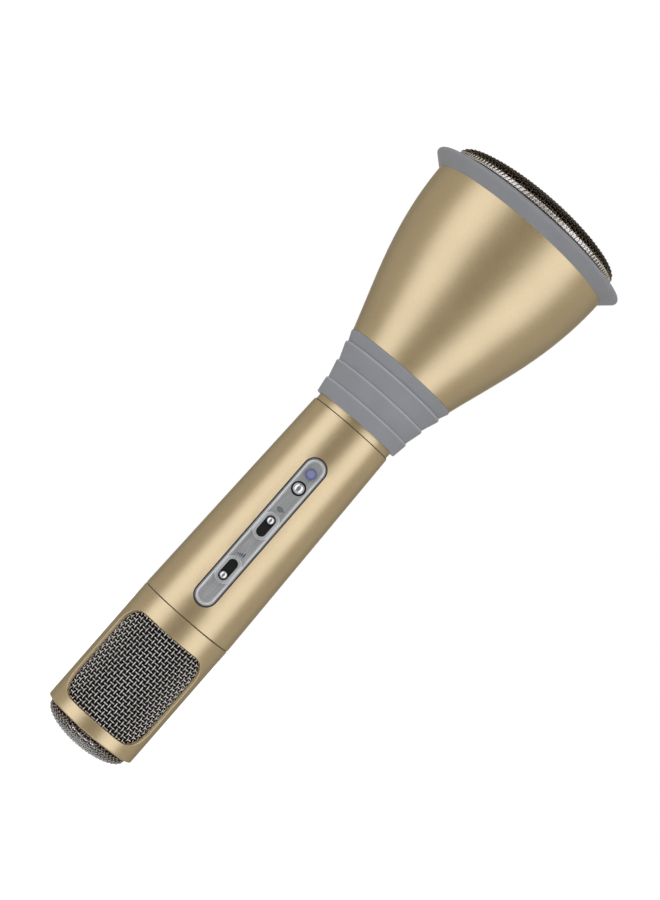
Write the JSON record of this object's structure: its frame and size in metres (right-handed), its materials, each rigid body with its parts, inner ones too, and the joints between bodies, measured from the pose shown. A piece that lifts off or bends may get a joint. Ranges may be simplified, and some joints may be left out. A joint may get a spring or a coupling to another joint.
{
  "type": "karaoke microphone",
  "caption": "Hand-held karaoke microphone: windowed mesh pick-up head, tapered handle with button and sliders, ribbed sleeve and a flared horn that ends in a domed loudspeaker grille.",
  "frame": {"origin": "on the long axis at the middle of the handle's grip, where a hand or a stand clip holds it", "axes": "+Z along the handle towards the loudspeaker end, -Z towards the pick-up head; the control strip faces -Y and the ports face +Y; +X is across the strip"},
  "size_m": [0.0846, 0.0846, 0.2571],
  "materials": {
    "gold_shell": "satin champagne anodised, fine grain",
    "wire_mesh": "woven steel wire",
    "bronze_mesh": "woven wire, dark bronze",
    "silicone": "matt grey silicone",
    "bright_plate": "brushed plate",
    "chrome": "polished",
    "blue_lens": "gloss blue lens",
    "black_plastic": "moulded black",
    "frame_plastic": "moulded charcoal",
    "foam": "open-cell foam",
    "cell_wrap": "shrink wrap",
    "board": "green circuit board",
    "tin": "tin-plated",
    "screw_steel": "zinc-plated",
    "magnet": "ferrite",
    "pole_steel": "zinc-plated",
    "paper": "pressed paper cone",
    "spider_cloth": "resin-dipped cloth",
    "coil_copper": "enamelled copper winding",
    "soft_rubber": "black rubber",
    "lead_red": "PVC lead",
    "lead_black": "PVC lead",
    "lead_grey": "PVC lead",
    "capsule_metal": "plain can"
  },
  "bodies": {
    "housing": {"mic_head_shell": "gold_shell", "side_mesh": "wire_mesh", "end_mesh": "wire_mesh", "head_foam": "foam", "mic_capsule": "capsule_metal", "capsule_holder": "soft_rubber", "capsule_cage": "frame_plastic", "head_collar": "frame_plastic", "handle_tube": "gold_shell", "control_panel": "bright_plate", "volume_fader": "tin", "echo_fader": "tin", "tact_switch": "tin", "status_lens": "blue_lens", "status_led": "tin", "main_board": "board", "radio_module": "tin", "amplifier_chip": "black_plastic", "capacitors": "capsule_metal", "mic_connector": "black_plastic", "inner_frame": "frame_plastic", "battery_cell": "cell_wrap", "port_board": "board", "port_header": "black_plastic", "audio_jack": "black_plastic", "usb_socket": "tin", "horn_shell": "gold_shell", "neck_sleeve": "silicone", "rim_bumper": "silicone", "grille_ring": "black_plastic", "speaker_grille": "bronze_mesh", "speaker_gasket": "soft_rubber", "speaker_basket": "black_plastic", "top_plate": "pole_steel", "speaker_magnet": "magnet", "magnet_yoke": "pole_steel", "surround": "soft_rubber", "spider": "spider_cloth", "speaker_terminals": "black_plastic", "lower_frame_screws": "screw_steel", "upper_frame_screws": "screw_steel", "board_screws": "screw_steel", "speaker_screws": "screw_steel", "mic_lead": "lead_grey", "battery_lead_plus": "lead_red", "battery_lead_minus": "lead_black", "speaker_lead_plus": "lead_red", "speaker_lead_minus": "lead_black"},
    "power_button": {"power_button": "chrome", "switch_plunger": "black_plastic"},
    "echo_slider": {"echo_knob": "chrome", "echo_carrier": "black_plastic"},
    "volume_slider": {"volume_knob": "chrome", "volume_carrier": "black_plastic"},
    "cone": {"speaker_cone": "paper", "dust_cap": "paper", "voice_coil": "coil_copper"}
  },
  "joints": [
    {"name": "power_press", "type": "slide", "parent": "housing", "child": "power_button", "axis": [0, 0.9997, -0.0225], "range_m": [0, 0.0005], "stiffness_N_per_m": 2000},
    {"name": "echo_slide", "type": "slide", "parent": "housing", "child": "echo_slider", "axis": [0, 0.0225, 0.9997], "range_m": [-0.0049, 0]},
    {"name": "volume_slide", "type": "slide", "parent": "housing", "child": "volume_slider", "axis": [0, 0.0225, 0.9997], "range_m": [0, 0.0049]},
    {"name": "cone_travel", "type": "slide", "parent": "housing", "child": "cone", "axis": [0, 0, 1], "range_m": [-0.0015, 0.0015], "stiffness_N_per_m": 1000, "deforming": ["surround", "spider"]}
  ]
}
